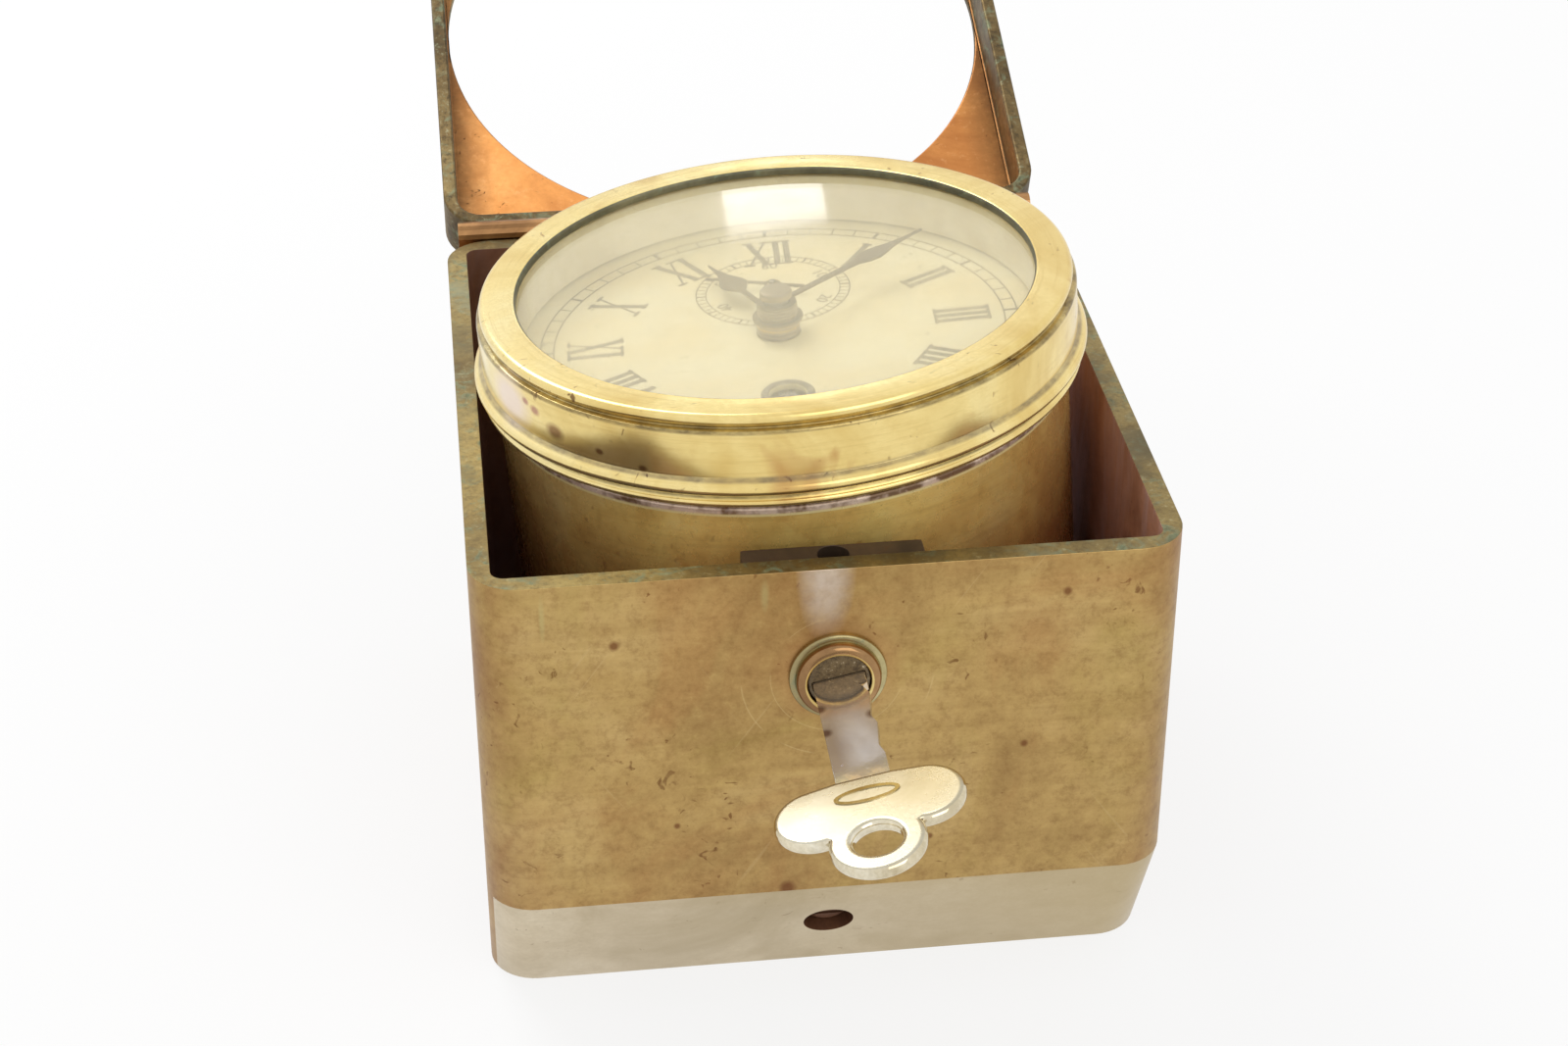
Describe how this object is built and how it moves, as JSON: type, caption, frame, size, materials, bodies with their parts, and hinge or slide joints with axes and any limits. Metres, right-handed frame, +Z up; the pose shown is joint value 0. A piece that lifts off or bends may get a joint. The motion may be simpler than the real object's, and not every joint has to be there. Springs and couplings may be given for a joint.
{
  "type": "ships clock",
  "caption": "Round brass clock standing in a square brass box with a hinged ring lid, a front lock with its key, and a full spring movement.",
  "frame": {"origin": "middle of the box's footprint, at the face it stands on", "axes": "+Z up, -Y towards the front with the lock, +Y towards the hinge, +X to the right seen from the front"},
  "size_m": [0.098, 0.2551, 0.1229],
  "materials": {
    "case_brass": "aged, lightly tarnished",
    "clock_brass": "aged satin",
    "fitting_brass": "dark aged",
    "movement_brass": "bright",
    "steel": "polished",
    "blued_steel": "darkened",
    "key_metal": "worn nickel",
    "dial_face": "silvered matt",
    "glass": "clear",
    "seat_wood": "stained"
  },
  "bodies": {
    "case": {"box_body": "case_brass", "base_plate": "fitting_brass", "base_screw_front": "fitting_brass", "base_screw_rear": "fitting_brass", "seat_block": "seat_wood", "hinge_leaf_box": "fitting_brass", "hinge_pin": "steel", "box_leaf_screw_left": "steel", "box_leaf_screw_right": "steel", "lock_cylinder": "fitting_brass", "lock_case": "fitting_brass"},
    "lid": {"lid_shell": "case_brass", "hinge_leaf_lid": "fitting_brass", "lid_leaf_screw_left": "steel", "lid_leaf_screw_right": "steel", "catch_post": "steel"},
    "plug": {"lock_plug": "fitting_brass"},
    "key": {"key": "key_metal"},
    "bolt": {"lock_bolt": "steel"},
    "clock": {"drum_case": "clock_brass", "back_plate": "movement_brass", "front_plate": "movement_brass", "plate_pillar_1": "movement_brass", "plate_pillar_2": "movement_brass", "plate_pillar_3": "movement_brass", "plate_pillar_4": "movement_brass", "dial": "dial_face", "click_screw": "steel", "click_spring": "steel", "hairspring": "blued_steel", "hairspring_stud": "movement_brass", "mainspring": "steel", "minute_post": "steel"},
    "bezel": {"bezel": "clock_brass", "glass": "glass", "glass_ring": "dial_face"},
    "barrel": {"barrel": "movement_brass", "barrel_cap": "movement_brass"},
    "winding": {"winding_arbor": "steel", "ratchet_wheel": "steel"},
    "click": {"click": "steel"},
    "centre": {"centre_arbor": "steel", "centre_wheel": "movement_brass"},
    "third": {"third_arbor": "steel", "third_wheel": "movement_brass"},
    "seconds": {"fourth_arbor": "steel", "fourth_wheel": "movement_brass", "seconds_hand": "blued_steel"},
    "escape": {"escape_arbor": "steel", "escape_wheel": "movement_brass"},
    "lever": {"pallet_lever": "steel"},
    "balance": {"balance_wheel": "movement_brass", "balance_staff": "steel"},
    "minute_hand": {"cannon_pinion": "steel", "minute_hand": "blued_steel", "hand_nut": "movement_brass"},
    "minute_wheel": {"minute_wheel": "movement_brass"},
    "hour_hand": {"hour_wheel": "movement_brass", "hour_hand": "blued_steel"}
  },
  "joints": [
    {"name": "lid_hinge", "type": "hinge", "parent": "case", "child": "lid", "pos_m": [0, 0.0548, 0.07615], "axis": [1, 0, 0], "range_deg": [0, 159.1]},
    {"name": "key_turn", "type": "hinge", "parent": "case", "child": "plug", "pos_m": [0.0005, -0.0525, 0.0589], "axis": [0, -1, 0], "range_deg": [0, 90]},
    {"name": "bolt_slide", "type": "slide", "parent": "case", "child": "bolt", "axis": [-1, 0, 0], "range_m": [0, 0.0016]},
    {"name": "key_pull", "type": "slide", "parent": "plug", "child": "key", "axis": [0, -1, 0], "range_m": [0, 0.03]},
    {"name": "clock_lift", "type": "slide", "parent": "case", "child": "clock", "axis": [0, 0, 1], "range_m": [0, 0.06]},
    {"name": "bezel_lift", "type": "slide", "parent": "clock", "child": "bezel", "axis": [0, 0, 1], "range_m": [0, 0.025]},
    {"name": "seconds_spin", "type": "hinge", "parent": "clock", "child": "seconds", "pos_m": [0.00043, 0.01525, 0.07346], "axis": [-0.0709, 0.0288, 0.9971], "continuous": true},
    {"name": "third_spin", "type": "hinge", "parent": "clock", "child": "third", "pos_m": [0.0105, 0.00931, 0.07435], "axis": [-0.0709, 0.0288, 0.9971], "continuous": true},
    {"name": "centre_spin", "type": "hinge", "parent": "clock", "child": "centre", "pos_m": [-0.00033, 0.00127, 0.07381], "axis": [-0.0709, 0.0288, 0.9971], "continuous": true},
    {"name": "barrel_spin", "type": "hinge", "parent": "clock", "child": "barrel", "pos_m": [-0.00139, -0.01819, 0.07429], "axis": [-0.0709, 0.0288, 0.9971], "continuous": true},
    {"name": "escape_spin", "type": "hinge", "parent": "clock", "child": "escape", "pos_m": [-0.00835, 0.02096, 0.07267], "axis": [-0.0709, 0.0288, 0.9971], "continuous": true},
    {"name": "winding_turn", "type": "hinge", "parent": "clock", "child": "winding", "pos_m": [-0.00139, -0.01819, 0.07429], "axis": [-0.0709, 0.0288, 0.9971], "continuous": true},
    {"name": "click_swing", "type": "hinge", "parent": "clock", "child": "click", "pos_m": [-0.00841, -0.01362, 0.07366], "axis": [-0.0709, 0.0288, 0.9971], "range_deg": [0, 8], "stiffness_Nm_per_rad": 0.001},
    {"name": "lever_rock", "type": "hinge", "parent": "clock", "child": "lever", "pos_m": [-0.0153, 0.01792, 0.07226], "axis": [-0.0709, 0.0288, 0.9971], "range_deg": [-2.5, 2.5]},
    {"name": "balance_swing", "type": "hinge", "parent": "clock", "child": "balance", "pos_m": [-0.02399, 0.01413, 0.07175], "axis": [-0.0709, 0.0288, 0.9971], "range_deg": [-60, 60], "stiffness_Nm_per_rad": 0.000012},
    {"name": "set_hands", "type": "hinge", "parent": "clock", "child": "minute_hand", "pos_m": [-0.00033, 0.00127, 0.07381], "axis": [-0.0709, 0.0288, 0.9971], "continuous": true},
    {"name": "minute_wheel_spin", "type": "hinge", "parent": "clock", "child": "minute_wheel", "pos_m": [0.00769, -0.00396, 0.07453], "axis": [-0.0709, 0.0288, 0.9971], "continuous": true},
    {"name": "hour_hand_spin", "type": "hinge", "parent": "clock", "child": "hour_hand", "pos_m": [-0.00033, 0.00127, 0.07381], "axis": [-0.0709, 0.0288, 0.9971], "continuous": true}
  ],
  "couplings": [
    {"joint": "bolt_slide", "follows": "key_turn", "m_per_rad": 0.001018},
    {"joint": "third_spin", "follows": "seconds_spin", "ratio": -0.13333},
    {"joint": "centre_spin", "follows": "seconds_spin", "ratio": 0.016667},
    {"joint": "barrel_spin", "follows": "seconds_spin", "ratio": -0.0027778},
    {"joint": "escape_spin", "follows": "seconds_spin", "ratio": -6},
    {"joint": "minute_wheel_spin", "follows": "set_hands", "ratio": -0.33333},
    {"joint": "hour_hand_spin", "follows": "set_hands", "ratio": 0.083333}
  ]
}
